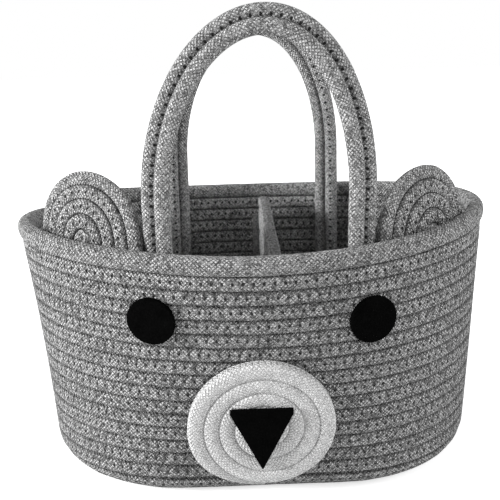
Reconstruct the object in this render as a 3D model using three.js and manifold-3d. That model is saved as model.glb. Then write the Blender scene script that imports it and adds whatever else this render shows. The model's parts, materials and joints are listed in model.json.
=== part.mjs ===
import * as THREE from 'three';
import { mergeVertices } from 'three/addons/utils/BufferGeometryUtils.js';
import Module from 'manifold-3d';

// An oval caddy coiled from cotton rope, with a bear's face sewn on its front.
// Millimetres, +Z up, +Y away from the face. The origin is on the floor under the middle of the rim.

// Basket
const basketHeight = 178;
const rimHalfDepth = 130;
const rimCoreHalfLength = 43;
const baseHalfDepth = 104;
const baseCoreHalfLength = 56.2;
const bottomRounding = 20;
const rimRise = 10;
const rimLean = 4;
const rimFlare = 2.5;

// Rope
const ropeDiameter = 9.5;
const rimRopeDiameter = 12;
const ropeGap = 0.45;
const seatGap = 0.3;
const restCut = ropeDiameter / 10;

// Ears and muzzle, each a spiral of the same rope
const earCoilGap = 1.5;
const muzzleCoilGap = 0.75;
const earSeatGap = 0.7;
const earRadius = 47;
const earCentreAboveRim = -2;
const earHandleGap = 1;
const earLean = 15;
const muzzleRadius = 47;
const muzzleCentreHeight = 61.5;
const muzzleCentreX = 0;
const noseX = -2.4;

// Felt eyes and nose
const feltThickness = 3;
const eyeDiameter = 32.5;
const eyeSpacing = 138.5;
const leftEyeHeight = 134.5;
const rightEyeHeight = 129.8;
const noseWidth = 41.5;
const noseHeight = 48;
const noseTopHeight = 78.3;
const noseCornerRadius = 1.2;

// Handles, each of two ropes side by side
const handleHalfSpan = 75.3;
const handleTopHeight = 329.3;
const handleSpringHeight = 211;
const handleLean = 5.4;
const hingeAboveRim = 7;
const sewnLegLength = 70;

// Divider, one rope folded to and fro, and its hook-and-loop strips
const dividerX = 10;
const dividerTopHeight = 170;
const stripThickness = 1.5;
const stripWidth = 20;
const stripLength = 110;
const stripBottomHeight = 42;

// Counts of the facets
const straightSteps = 2;
const arcSteps = 7;
const loopSteps = 2 * (straightSteps + arcSteps);
const spiralSteps = 14;
const archSteps = 16;
const foldSteps = 3;
const roundSides = 8;
const discSides = 32;
const cornerSteps = 3;

const ropeRadius = ropeDiameter / 2;
const rimRopeRadius = rimRopeDiameter / 2;
const quarterTurn = Math.PI / 2;
const up = new THREE.Vector3(0, 0, 1);

// The middle line of the wall in a cut through the front: flat base, rounded corner, slanting wall
const baseLineHeight = ropeRadius - restCut;
const rimLineHeight = basketHeight - rimRopeRadius;
const rimLineDepth = rimHalfDepth - rimRopeRadius;
const slantAngle = Math.atan2(rimLineDepth - (baseHalfDepth - ropeRadius), rimLineHeight);
const cornerRadius = bottomRounding - ropeRadius;
const cornerStart = baseHalfDepth - ropeRadius
  + Math.tan(slantAngle) * (baseLineHeight + cornerRadius) - cornerRadius / Math.cos(slantAngle);
const cornerLength = (quarterTurn - slantAngle) * cornerRadius;
const slantStart = cornerStart + cornerLength;
const slantStartDepth = cornerStart + cornerRadius * Math.cos(slantAngle);
const slantStartHeight = baseLineHeight + cornerRadius * (1 - Math.sin(slantAngle));
const slantLength = (rimLineHeight - slantStartHeight) / Math.cos(slantAngle);
const rimDistance = slantStart + slantLength;
const rimHalfLength = rimCoreHalfLength + rimLineDepth;

// Rows of rope along that line, counted from the rope in the middle of the base
const rimRowStep = ropeRadius + rimRopeRadius + ropeGap;
const lastRow = Math.floor((rimDistance - rimRowStep) / (ropeDiameter + ropeGap));
const rowPitch = (rimDistance - rimRowStep) / lastRow;
const baseRows = Math.floor(cornerStart / rowPitch) + 1;

function wallProfile(distance) {
  if (distance <= cornerStart) return { depth: distance, height: baseLineHeight };
  if (distance <= slantStart) {
    const angle = (distance - cornerStart) / cornerRadius;
    return {
      depth: cornerStart + cornerRadius * Math.sin(angle),
      height: baseLineHeight + cornerRadius * (1 - Math.cos(angle)),
    };
  }
  const rest = distance - slantStart;
  return {
    depth: slantStartDepth + rest * Math.sin(slantAngle),
    height: slantStartHeight + rest * Math.cos(slantAngle),
  };
}

// A loop starts at the right end of the back straight and runs anticlockwise seen from above.
function loopAngle(step) {
  const place = ((step % loopSteps) + loopSteps) % loopSteps;
  if (place < straightSteps) return { angle: quarterTurn, side: 1 - 2 * place / straightSteps };
  const leftPlace = place - straightSteps;
  if (leftPlace < arcSteps) return { angle: quarterTurn + Math.PI * leftPlace / arcSteps, side: -1 };
  const frontPlace = leftPlace - arcSteps;
  if (frontPlace < straightSteps) {
    return { angle: 3 * quarterTurn, side: 2 * frontPlace / straightSteps - 1 };
  }
  return { angle: 3 * quarterTurn + Math.PI * (frontPlace - straightSteps) / arcSteps, side: 1 };
}

// The wall's middle surface: straight-sided at the base and a full oval at the rim
function wallSurface(step, distance) {
  const { depth, height } = wallProfile(distance);
  const heightShare = Math.max(0, (distance - slantStart) / slantLength);
  const core = THREE.MathUtils.lerp(baseCoreHalfLength, rimCoreHalfLength, heightShare);
  const { angle, side } = loopAngle(step);
  const ovalAngle = quarterTurn + (step - straightSteps / 2) * 2 * Math.PI / loopSteps;
  const straightX = core * side + depth * Math.cos(angle);
  const straightY = depth * Math.sin(angle);
  const ovalX = (core + depth) * Math.cos(ovalAngle);
  const ovalY = depth * Math.sin(ovalAngle);
  const flareShare = heightShare ** 3 * rimFlare / rimHalfLength;
  const x = THREE.MathUtils.lerp(straightX, ovalX, heightShare) * (1 + flareShare);
  const y = THREE.MathUtils.lerp(straightY, ovalY, heightShare);
  return new THREE.Vector3(
    x - rimLean * heightShare ** 2, y, height + heightShare * rimRise * (x / rimHalfLength) ** 2);
}

// The same surface with the loops' chords in place of their curves
function facetedWall(step, distance) {
  const before = Math.floor(step);
  return wallSurface(before, distance).lerp(wallSurface(before + 1, distance), step - before);
}

const probe = ropeDiameter / 100;

function alongLoop(step, distance, surface = wallSurface) {
  const away = Math.max(distance, rowPitch);
  const reach = probe / ropeDiameter;
  return surface(step + reach, away).sub(surface(step - reach, away)).normalize();
}

function acrossRows(step, distance) {
  return wallSurface(step, distance + probe).sub(wallSurface(step, Math.max(distance - probe, 0))).normalize();
}

function outward(step, distance) {
  return alongLoop(step, distance).cross(acrossRows(step, distance)).normalize();
}

// Closed bodies from rings of points
function closedBody(rings) {
  const sides = rings[0].length;
  const points = rings.flat();
  const faces = [];
  for (let ring = 0; ring + 1 < rings.length; ring += 1) {
    for (let side = 0; side < sides; side += 1) {
      const a = ring * sides + side;
      const b = ring * sides + (side + 1) % sides;
      faces.push(a, b, b + sides, a, b + sides, a + sides);
    }
  }
  for (const last of [false, true]) {
    const first = last ? (rings.length - 1) * sides : 0;
    for (let side = 1; side + 1 < sides; side += 1) {
      if (last) faces.push(first, first + side, first + side + 1);
      else faces.push(first, first + side + 1, first + side);
    }
  }
  if (signedVolume(points, faces) < 0) faces.reverse();
  const geometry = new THREE.BufferGeometry();
  geometry.setAttribute('position', new THREE.Float32BufferAttribute(points.flatMap((p) => p.toArray()), 3));
  geometry.setIndex(faces);
  return geometry;
}

function signedVolume(points, faces) {
  let volume = 0;
  for (let i = 0; i < faces.length; i += 3) {
    const [a, b, c] = [points[faces[i]], points[faces[i + 1]], points[faces[i + 2]]];
    volume += a.dot(b.clone().cross(c));
  }
  return volume;
}

// Six sides, with corners towards the rows beside and flats on the two faces of the wall
const ropeSectionShares = [[1, 0], [0.5, 1], [-0.5, 1], [-1, 0], [-0.5, -1], [0.5, -1]];

function ropeRings(path, radius) {
  return path.map(({ point, across }, i) => {
    const before = path[Math.max(i - 1, 0)].point;
    const after = path[Math.min(i + 1, path.length - 1)].point;
    const along = after.clone().sub(before).normalize();
    const out = along.clone().cross(across).normalize();
    const row = out.clone().cross(along).normalize();
    return ropeSectionShares.map(([rowShare, outShare]) => point.clone()
      .addScaledVector(row, radius * rowShare)
      .addScaledVector(out, radius * outShare));
  });
}

function roundRings(path, radius, sideways) {
  return path.map((point, i) => {
    const before = path[Math.max(i - 1, 0)];
    const after = path[Math.min(i + 1, path.length - 1)];
    const along = after.clone().sub(before).normalize();
    const second = along.clone().cross(sideways).normalize();
    const first = second.clone().cross(along).normalize();
    return circleOfPoints(point, first, second, radius);
  });
}

function circleOfPoints(centre, first, second, radius) {
  const ring = [];
  for (let side = 0; side < roundSides; side += 1) {
    const angle = (side + 1 / 2) * 2 * Math.PI / roundSides;
    ring.push(centre.clone()
      .addScaledVector(first, radius * Math.cos(angle))
      .addScaledVector(second, radius * Math.sin(angle)));
  }
  return ring;
}

function shortened(path, startCut, endCut) {
  const cut = path.map((place) => ({ ...place, point: place.point.clone() }));
  const last = cut.length - 1;
  cut[0].point.addScaledVector(path[1].point.clone().sub(path[0].point).normalize(), startCut);
  cut[last].point.addScaledVector(path[last - 1].point.clone().sub(path[last].point).normalize(), endCut);
  return cut;
}

// The least gap between parts of one rope that lie further apart along it than two diameters
function leastGapToItself(rings, path) {
  const samples = [];
  let travelled = 0;
  rings.forEach((ring, i) => {
    if (i > 0) {
      const stretch = path[i].point.distanceTo(path[i - 1].point);
      ring.forEach((p, side) => samples.push({
        at: travelled + stretch / 2, p: p.clone().lerp(rings[i - 1][side], 1 / 2) }));
      travelled += stretch;
    }
    ring.forEach((p) => samples.push({ at: travelled, p }));
  });
  let least = Infinity;
  for (let i = 0; i < samples.length; i += 1) {
    for (let j = i + 1; j < samples.length; j += 1) {
      if (samples[j].at - samples[i].at > 2 * ropeDiameter) {
        least = Math.min(least, samples[i].p.distanceToSquared(samples[j].p));
      }
    }
  }
  return Math.sqrt(least);
}

function woundRope(name, path, radius) {
  const rings = ropeRings(path, radius);
  console.log(`${name}: least gap to itself ${leastGapToItself(rings, path).toFixed(2)} mm`);
  return closedBody(rings);
}

// Where the basket's rope lies. Round the left end it goes over to the next row,
// about a centre half a row further forward.
function basketPlace(totalSteps, rowOffset = 0) {
  const loop = Math.floor(totalSteps / loopSteps);
  const step = totalSteps - loop * loopSteps;
  const onLeftEnd = step > straightSteps && step < straightSteps + arcSteps;
  const { angle } = loopAngle(step);
  let row = loop + (step >= straightSteps + arcSteps ? 1 : 0);
  if (onLeftEnd) row = loop + (1 - Math.sin(angle)) / 2;
  const distance = row * rowPitch + rowOffset;
  const slide = onLeftEnd ? -rowPitch / 2 * Math.cos(angle) : 0;
  const point = wallSurface(step, distance).addScaledVector(alongLoop(step, distance), slide);
  return { point, across: acrossRows(step, distance) };
}

function facetedPlace(totalSteps, rowOffset) {
  const before = Math.floor(totalSteps);
  const place = basketPlace(before, rowOffset);
  if (totalSteps > before) place.point.lerp(basketPlace(before + 1, rowOffset).point, totalSteps - before);
  return place;
}

function basketPath(firstStep, lastStep, rowOffset = 0) {
  const path = [facetedPlace(firstStep, rowOffset)];
  for (let total = Math.floor(firstStep) + 1; total < lastStep; total += 1) {
    path.push(basketPlace(total, rowOffset));
  }
  path.push(facetedPlace(lastStep, rowOffset));
  return path;
}

// The ropes butt on one straight step of the left end, where they go over to the next row.
const jointStep = straightSteps + 1;
const baseEndShare = 0.5;
const wallEndShare = 0.2;
const rimStartShare = 0.78;
const baseEnd = baseRows * loopSteps + jointStep + baseEndShare;
const wallEnd = lastRow * loopSteps + jointStep + wallEndShare;
const rimStart = lastRow * loopSteps + jointStep + rimStartShare;

const wasm = await Module();
wasm.setup();

function asSolid(geometry) {
  const bare = geometry.clone();
  bare.deleteAttribute('normal');
  bare.deleteAttribute('uv');
  const merged = mergeVertices(bare);
  return new wasm.Manifold(new wasm.Mesh({
    numProp: 3,
    vertProperties: new Float32Array(merged.attributes.position.array),
    triVerts: new Uint32Array(merged.index.array),
  }));
}

function asGeometry(solid) {
  const mesh = solid.getMesh();
  const geometry = new THREE.BufferGeometry();
  geometry.setAttribute('position', new THREE.BufferAttribute(mesh.vertProperties, 3));
  geometry.setIndex(new THREE.BufferAttribute(mesh.triVerts, 1));
  return geometry;
}

// The rope is cut flat where the caddy stands on it.
function cutAtFloor(geometry) {
  const belowFloor = new THREE.BoxGeometry(2 * rimHalfLength, 2 * rimHalfDepth, ropeDiameter);
  belowFloor.translate(0, 0, -ropeRadius);
  return asGeometry(asSolid(geometry).subtract(asSolid(belowFloor)));
}

function baseCoil() {
  const path = shortened(basketPath(0, baseEnd), 0, ropeGap / 2);
  return cutAtFloor(woundRope('base_coil', path, ropeRadius));
}

function wallCoil() {
  const path = shortened(basketPath(baseEnd, wallEnd), ropeGap / 2, ropeGap / 2);
  return cutAtFloor(woundRope('wall_coil', path, ropeRadius));
}

// The thicker rope of the rim goes round once. Past the wall rope's end it steps down to its own start.
function rimRope() {
  const offset = rimDistance - (lastRow + 1) * rowPitch;
  const path = basketPath(rimStart, wallEnd + loopSteps, offset);
  const [start, next] = path;
  const back = start.point.clone().sub(next.point).setLength(rimRopeDiameter);
  path.push({ ...start, point: start.point.clone().add(back) }, { ...start });
  return closedBody(ropeRings(shortened(path, ropeGap / 2, ropeGap / 2), rimRopeRadius));
}

// Spirals, which end at the bottom: a place is a distance right and a distance up from the centre.
// The radius is the one across the top, half a turn before the end.
function spiralPlaces(radius, gap) {
  const spiralPitch = ropeDiameter + gap;
  const startReach = spiralPitch / 2;
  const endReach = radius - ropeRadius + spiralPitch / 2;
  const steps = Math.floor((endReach - startReach) / spiralPitch * spiralSteps);
  const places = [];
  for (let i = 0; i <= steps; i += 1) {
    const angle = (i - steps) * 2 * Math.PI / spiralSteps - quarterTurn;
    const reach = endReach - spiralPitch * (steps - i) / spiralSteps;
    places.push({ right: reach * Math.cos(angle), up: reach * Math.sin(angle) });
  }
  return places;
}

const earOffset = rimRopeRadius + earSeatGap + ropeRadius;

function insideWall(step, distance) {
  return facetedWall(step, distance).addScaledVector(outward(step, distance), -earOffset);
}

// Steps along the inside of the wall that cover a length, found in short strides
function stepAfter(step, distance, length) {
  const strides = 40;
  const reach = probe / ropeDiameter;
  let place = step;
  for (let i = 0; i < strides; i += 1) {
    const stretch = insideWall(place + reach, distance).distanceTo(insideWall(place - reach, distance));
    place += length / strides / (stretch / (2 * reach));
  }
  return place;
}

function stepAtX(x, distance, towards, surface) {
  const strides = 400;
  const frontMiddle = straightSteps + arcSteps + straightSteps / 2;
  const quarterLoop = loopSteps / 4;
  for (let i = 0; i < strides; i += 1) {
    const step = frontMiddle + towards * quarterLoop * i / strides;
    if (towards * surface(step, distance).x >= towards * x) return step;
  }
  return frontMiddle + towards * quarterLoop;
}

// The ears stand inside the front wall, bent to it, clear of the handle's ropes.
// Above the rim they lean in from the wall's slant. A spiral reaches a quarter of its pitch further left.
const leanPower = 1.5;

function earPlace(step, distance) {
  const aboveShare = Math.max(0, distance - rimDistance + ropeRadius) / earRadius;
  const inwards = outward(step, distance).setZ(0).setLength(earLean * aboveShare ** leanPower);
  return insideWall(step, distance).sub(inwards);
}

function ear(name, towards) {
  const centreDistance = rimDistance + earCentreAboveRim;
  const innerX = towards * (handleHalfSpan + earHandleGap);
  const innerStep = stepAtX(innerX, centreDistance, towards, insideWall);
  const quarterPitch = (ropeDiameter + earCoilGap) / 4;
  const centreStep = stepAfter(innerStep, centreDistance, towards * earRadius + quarterPitch);
  const onWall = (right, rise) => {
    const distance = centreDistance + rise;
    return earPlace(stepAfter(centreStep, distance, right), distance);
  };
  const furtherShare = 1.01;
  const path = spiralPlaces(earRadius, earCoilGap).map(({ right, up: rise }) => {
    const point = onWall(right, rise);
    const further = onWall(right * furtherShare, rise * furtherShare);
    return { point, across: further.sub(point).normalize() };
  });
  return woundRope(name, path, ropeRadius);
}

// The muzzle lies flat against the front wall's slant.
const frontPlane = new THREE.Group();
frontPlane.rotation.x = quarterTurn + slantAngle;
const slantUp = new THREE.Vector3(0, Math.sin(-slantAngle), Math.cos(slantAngle));
const slantOut = new THREE.Vector3(0, -Math.cos(slantAngle), -Math.sin(slantAngle));

function onFrontSlant(x, height, standOff) {
  const rise = (height - slantStartHeight) / Math.cos(slantAngle);
  return new THREE.Vector3(x, -slantStartDepth, slantStartHeight)
    .addScaledVector(slantUp, rise)
    .addScaledVector(slantOut, standOff);
}

function muzzleCoil() {
  const standOff = ropeRadius + seatGap + ropeRadius;
  const centre = onFrontSlant(muzzleCentreX, muzzleCentreHeight, standOff);
  const path = spiralPlaces(muzzleRadius, muzzleCoilGap).map(({ right, up: rise }) => {
    const across = new THREE.Vector3(right, 0, 0).addScaledVector(slantUp, rise);
    return { point: centre.clone().add(across), across: across.clone().normalize() };
  });
  return woundRope('muzzle_coil', path, ropeRadius);
}

function extruded(shape, thickness) {
  return new THREE.ExtrudeGeometry(shape, {
    depth: thickness, bevelEnabled: false, curveSegments: cornerSteps, steps: 1 });
}

// The nose is a triangle that stands on its point.
function noseShape() {
  const corners = [[-noseWidth / 2, 0], [noseWidth / 2, 0], [0, -noseHeight]]
    .map(([x, y]) => new THREE.Vector2(x, y));
  const shape = new THREE.Shape();
  corners.forEach((corner, i) => {
    const before = corners[(i + corners.length - 1) % corners.length];
    const after = corners[(i + 1) % corners.length];
    const start = corner.clone().add(before.clone().sub(corner).setLength(noseCornerRadius));
    const end = corner.clone().add(after.clone().sub(corner).setLength(noseCornerRadius));
    if (i === 0) shape.moveTo(start.x, start.y);
    else shape.lineTo(start.x, start.y);
    shape.quadraticCurveTo(corner.x, corner.y, end.x, end.y);
  });
  shape.closePath();
  return shape;
}

// How far the wall's rows reach past a point, along a direction, within a radius round it
function reachOfWall(centre, direction, radius, side) {
  const strides = 9;
  let most = -Infinity;
  for (let row = baseRows; row <= lastRow; row += 1) {
    for (let i = 0; i <= loopSteps * strides; i += 1) {
      const step = i / strides;
      const p = facetedWall(step, row * rowPitch);
      const gap = p.clone().sub(centre);
      const depth = gap.dot(direction);
      const beside = Math.sqrt(Math.max(gap.lengthSq() - depth ** 2, 0));
      if (beside < radius + ropeRadius && Math.abs(depth) < bottomRounding) {
        const face = side * ropeRadius * outward(step, row * rowPitch).dot(direction);
        most = Math.max(most, depth + face);
      }
    }
  }
  return most;
}

// Handles: a plane for each, with the ropes' feet inside the rim
const handlePitch = ropeDiameter + ropeGap;
const hingeHeight = basketHeight + hingeAboveRim;
const ropeXs = [handleHalfSpan - ropeRadius, handleHalfSpan - ropeRadius - handlePitch];

// How far front or back a point at some x may lie and keep a clearance to a row's middle line
function depthInside(x, distance, side, clearance) {
  let depth = Infinity;
  for (let step = 0; step < loopSteps; step += 1) {
    const a = wallSurface(step, distance);
    const out = wallSurface(step + 1, distance).sub(a).cross(up).normalize();
    const facing = out.y * side;
    if (facing > 0) depth = Math.min(depth, (out.dot(a) - out.x * x - clearance) / facing);
  }
  return depth;
}

const sectionReach = Math.cos(slantAngle) + Math.sin(slantAngle) / 2;
const handlePlaneY = Math.min(...[1, -1].flatMap((side) => [1, -1].map((end) => depthInside(
  end * ropeXs[0], rimDistance, side, rimRopeRadius * sectionReach + seatGap + ropeRadius))));

function archPath(index) {
  const halfWidth = ropeXs[index];
  const rise = handleTopHeight - handleSpringHeight - ropeRadius - index * handlePitch;
  const path = [new THREE.Vector3(halfWidth, 0, hingeHeight)];
  for (let i = 0; i <= archSteps; i += 1) {
    const angle = Math.PI * i / archSteps;
    const height = handleSpringHeight + rise * Math.sin(angle);
    const heightShare = (height - hingeHeight) / (handleTopHeight - hingeHeight);
    path.push(new THREE.Vector3(
      halfWidth * Math.cos(angle) + handleLean * heightShare ** 2, 0, height));
  }
  path.push(new THREE.Vector3(-halfWidth, 0, hingeHeight));
  return path;
}

// An arch ends in half balls, so that it turns over the sewn legs without touching them.
function handleArch(index) {
  const path = archPath(index);
  const sideways = new THREE.Vector3(0, 1, 0);
  const rings = roundRings(path, ropeRadius, sideways);
  const ends = [path[0], path[path.length - 1]].map((foot) => {
    const ball = [];
    for (let i = 1; i <= cornerSteps; i += 1) {
      const angle = quarterTurn * i / (cornerSteps + 1 / 2);
      const centre = foot.clone().addScaledVector(up, -ropeRadius * Math.sin(angle));
      ball.push({ centre, radius: ropeRadius * Math.cos(angle) });
    }
    return ball;
  });
  const ringOf = (like, from, { centre, radius }) => like.map((p) => centre.clone()
    .addScaledVector(p.clone().sub(from), radius / ropeRadius));
  const first = ends[0].map((place) => ringOf(rings[0], path[0], place)).reverse();
  const last = ends[1].map((place) => ringOf(rings[rings.length - 1], path[path.length - 1], place));
  return closedBody([...first, ...rings, ...last]);
}

// A sewn leg follows the inside of the wall from the hinge down.
function sewnLeg(x, side) {
  const top = new THREE.Vector3(x, side * handlePlaneY, hingeHeight - ropeRadius - seatGap);
  const below = new THREE.Vector3(x, side * handlePlaneY, rimLineHeight - rimRopeRadius);
  const distance = rimDistance - sewnLegLength;
  const clearance = (ropeDiameter + 2 * seatGap) / Math.cos(slantAngle);
  const footY = depthInside(x, distance, side, clearance);
  const foot = new THREE.Vector3(x, side * footY, wallProfile(distance).height);
  return closedBody(roundRings([top, below, foot], ropeRadius, new THREE.Vector3(1, 0, 0)));
}

// Divider
const baseTopHeight = baseLineHeight + ropeRadius;
const dividerRows = Math.floor(
  (dividerTopHeight - baseTopHeight - seatGap - ropeDiameter) / (ropeDiameter + ropeGap)) + 1;
const dividerBottomLine = baseTopHeight + seatGap + ropeRadius;
const dividerPitch = (dividerTopHeight - ropeRadius - dividerBottomLine) / (dividerRows - 1);
const stripStack = 2 * stripThickness + 3 * seatGap;

function distanceAtHeight(height) {
  if (height >= slantStartHeight) {
    return slantStart + (height - slantStartHeight) / Math.cos(slantAngle);
  }
  const angle = Math.acos(1 - (height - baseLineHeight) / cornerRadius);
  return cornerStart + cornerRadius * angle;
}

// Where the strips' inner face is at a height, and so how far the divider's rope may reach
function dividerReach(height, side) {
  const low = distanceAtHeight(Math.max(height - dividerPitch, baseLineHeight));
  const clearance = ropeRadius / Math.cos(slantAngle) + stripStack + ropeRadius + dividerPitch / 2;
  return Math.min(...[-1, 1].map((edge) => depthInside(
    dividerX + edge * stripWidth / 2, low, side, clearance)));
}

function dividerPanel() {
  const path = [];
  const across = new THREE.Vector3(0, 0, 1);
  const firstSide = -1;
  const place = (y, z) => path.push({ point: new THREE.Vector3(dividerX, y, z) });
  place(-firstSide * dividerReach(dividerBottomLine, -firstSide), dividerBottomLine);
  for (let row = 0; row + 1 < dividerRows; row += 1) {
    const side = row % 2 === 0 ? firstSide : -firstSide;
    const middle = dividerBottomLine + (row + 1 / 2) * dividerPitch;
    const turn = dividerReach(middle, side);
    for (let i = 0; i <= foldSteps; i += 1) {
      const angle = Math.PI * i / foldSteps - quarterTurn;
      place(side * (turn + dividerPitch / 2 * Math.cos(angle)), middle + dividerPitch / 2 * Math.sin(angle));
    }
  }
  const lastSide = (dividerRows - 1) % 2 === 0 ? firstSide : -firstSide;
  const topLine = dividerTopHeight - ropeRadius;
  place(lastSide * (dividerReach(topLine, lastSide) + ropeRadius), topLine);
  const rings = foldedRings(path);
  console.log(`divider_panel: least gap to itself ${leastGapToItself(rings, path).toFixed(2)} mm`);
  return closedBody(rings);
}

// The folded rope lies in one plane, so its sections keep one direction out of that plane.
function foldedRings(path) {
  const out = new THREE.Vector3(1, 0, 0);
  return path.map(({ point }, i) => {
    const before = path[Math.max(i - 1, 0)].point;
    const after = path[Math.min(i + 1, path.length - 1)].point;
    const along = after.clone().sub(point).normalize().add(point.clone().sub(before).normalize());
    const row = out.clone().cross(along.normalize()).normalize();
    return ropeSectionShares.map(([rowShare, outShare]) => point.clone()
      .addScaledVector(row, ropeRadius * rowShare)
      .addScaledVector(out, ropeRadius * outShare));
  });
}

// A strip lies along the slant of the front or back wall, a number of layers in from it.
function strip(side, layer) {
  const geometry = new THREE.BoxGeometry(stripWidth, stripThickness, stripLength);
  geometry.translate(0, 0, stripLength / 2);
  const tilt = new THREE.Matrix4().makeRotationX(-side * slantAngle);
  geometry.applyMatrix4(tilt);
  const inwards = ropeRadius + seatGap + stripThickness / 2 + layer * (stripThickness + seatGap);
  const ends = [stripBottomHeight, stripBottomHeight + stripLength * Math.cos(slantAngle)];
  const depth = Math.min(...ends.flatMap((height, i) => [-1, 1].map((edge) => depthInside(
    dividerX + edge * stripWidth / 2, distanceAtHeight(height), side, inwards / Math.cos(slantAngle))
    - i * stripLength * Math.sin(slantAngle))));
  geometry.translate(dividerX, side * depth, stripBottomHeight);
  return geometry;
}

// The rim leans to the left of the base, and the origin is under the rim.
const caddy = new THREE.Group();
caddy.position.x = rimLean;
const greyRope = { color: 0x8b8b8a, roughness: 0.95, metalness: 0 };
const whiteRope = { color: 0xdededc, roughness: 0.95, metalness: 0 };
const blackFelt = { color: 0x101010, roughness: 1, metalness: 0 };
const stripTape = { color: 0x7a7a7a, roughness: 0.9, metalness: 0 };

function addPiece(name, geometry, look) {
  const mesh = new THREE.Mesh(geometry, new THREE.MeshStandardMaterial(look));
  mesh.name = name;
  caddy.add(mesh);
  return mesh;
}

addPiece('base_coil', baseCoil(), greyRope);
addPiece('wall_coil', wallCoil(), greyRope);
addPiece('rim_rope', rimRope(), greyRope);
addPiece('left_ear', ear('left_ear', -1), greyRope);
addPiece('right_ear', ear('right_ear', 1), greyRope);
addPiece('muzzle_coil', muzzleCoil(), whiteRope);

// Each eye faces straight out from the wall at its middle.
for (const [name, towards, height] of [['left_eye', -1, leftEyeHeight], ['right_eye', 1, rightEyeHeight]]) {
  const distance = distanceAtHeight(height);
  const step = stepAtX(towards * eyeSpacing / 2, distance, towards, facetedWall);
  const out = outward(step, distance);
  const centre = facetedWall(step, distance);
  const standOff = reachOfWall(centre, out, eyeDiameter / 2, 1) + seatGap + feltThickness / 2;
  const disc = new THREE.CylinderGeometry(eyeDiameter / 2, eyeDiameter / 2, feltThickness, discSides);
  const eye = addPiece(name, disc, blackFelt);
  eye.quaternion.setFromUnitVectors(new THREE.Vector3(0, 1, 0), out);
  eye.position.copy(centre).addScaledVector(out, standOff);
}

const nose = addPiece('nose', extruded(noseShape(), feltThickness), blackFelt);
nose.rotation.x = quarterTurn + slantAngle;
nose.position.copy(onFrontSlant(
  noseX, noseTopHeight, ropeRadius + seatGap + ropeDiameter + seatGap));

for (const [handle, side] of [['front_handle', -1], ['back_handle', 1]]) {
  ['outer', 'inner'].forEach((layer, index) => {
    const arch = addPiece(`${handle}_${layer}_rope`, handleArch(index), greyRope);
    arch.position.y = side * handlePlaneY;
    addPiece(`${handle}_left_${layer}_leg`, sewnLeg(-ropeXs[index], side), greyRope);
    addPiece(`${handle}_right_${layer}_leg`, sewnLeg(ropeXs[index], side), greyRope);
  });
}

addPiece('divider_panel', dividerPanel(), greyRope);
for (const [end, side] of [['front', -1], ['back', 1]]) {
  addPiece(`${end}_loop_strip`, strip(side, 0), stripTape);
  addPiece(`${end}_hook_strip`, strip(side, 1), stripTape);
}

export default caddy;
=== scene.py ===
import json
import math

import bpy
import numpy as np
from mathutils import Matrix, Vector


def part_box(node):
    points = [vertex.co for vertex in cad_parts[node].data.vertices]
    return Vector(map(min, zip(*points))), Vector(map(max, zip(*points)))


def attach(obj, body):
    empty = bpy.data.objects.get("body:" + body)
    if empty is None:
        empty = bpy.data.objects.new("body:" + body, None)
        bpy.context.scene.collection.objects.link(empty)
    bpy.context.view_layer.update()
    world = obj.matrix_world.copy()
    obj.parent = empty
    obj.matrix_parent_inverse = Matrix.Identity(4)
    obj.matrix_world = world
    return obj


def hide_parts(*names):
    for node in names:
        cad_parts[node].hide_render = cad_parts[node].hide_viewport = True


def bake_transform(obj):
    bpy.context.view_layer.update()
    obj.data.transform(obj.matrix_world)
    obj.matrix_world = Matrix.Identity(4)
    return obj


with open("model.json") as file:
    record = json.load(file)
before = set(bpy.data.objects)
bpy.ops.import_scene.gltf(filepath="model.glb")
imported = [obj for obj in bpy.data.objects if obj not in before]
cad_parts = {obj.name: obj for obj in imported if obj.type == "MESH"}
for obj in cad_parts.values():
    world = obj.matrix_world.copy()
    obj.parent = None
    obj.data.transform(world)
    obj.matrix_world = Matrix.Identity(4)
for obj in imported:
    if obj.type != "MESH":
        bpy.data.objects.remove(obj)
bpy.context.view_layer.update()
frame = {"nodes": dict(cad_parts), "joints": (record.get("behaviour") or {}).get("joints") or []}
mm = 0.001  # shapes are worked out in millimetres


# Shader maths written as expressions: a node's output that can be used in sums
class Wire:
    def __init__(self, paint, socket):
        self.paint = paint
        self.socket = socket

    def math(self, operation, *others):
        values = dict(enumerate((self, *others)))
        return self.paint.add("ShaderNodeMath", {"operation": operation}, values)

    def reflected(self, operation, other):
        return self.paint.add("ShaderNodeMath", {"operation": operation}, {0: other, 1: self})

    def __add__(self, other):
        return self.math("ADD", other)

    def __radd__(self, other):
        return self.math("ADD", other)

    def __sub__(self, other):
        return self.math("SUBTRACT", other)

    def __rsub__(self, other):
        return self.reflected("SUBTRACT", other)

    def __mul__(self, other):
        return self.math("MULTIPLY", other)

    def __rmul__(self, other):
        return self.math("MULTIPLY", other)

    def __truediv__(self, other):
        return self.math("DIVIDE", other)

    def __rtruediv__(self, other):
        return self.reflected("DIVIDE", other)

    def __pow__(self, other):
        return self.math("POWER", other)

    def __rpow__(self, other):
        return self.reflected("POWER", other)

    def __abs__(self):
        return self.math("ABSOLUTE")

    def whole(self):
        return self.math("FLOOR")

    def part(self):
        return self.math("FRACT")

    # From -0.5 to 0.5, and 0 at every whole number
    def fromWhole(self):
        return (self + 0.5).part() - 0.5

    def above(self, other):
        return self.math("GREATER_THAN", other)

    def larger(self, other):
        return self.math("MAXIMUM", other)

    # Another output of the same node
    def other(self, key):
        return Wire(self.paint, self.socket.node.outputs[key])

    # From start to end as the value goes from low to high, eased at both ends
    def smooth(self, low, high, start=0.0, end=1.0):
        return self.paint.add("ShaderNodeMapRange", {"interpolation_type": "SMOOTHSTEP"}, {
            "Value": self, "From Min": low, "From Max": high, "To Min": start, "To Max": end})


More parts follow.
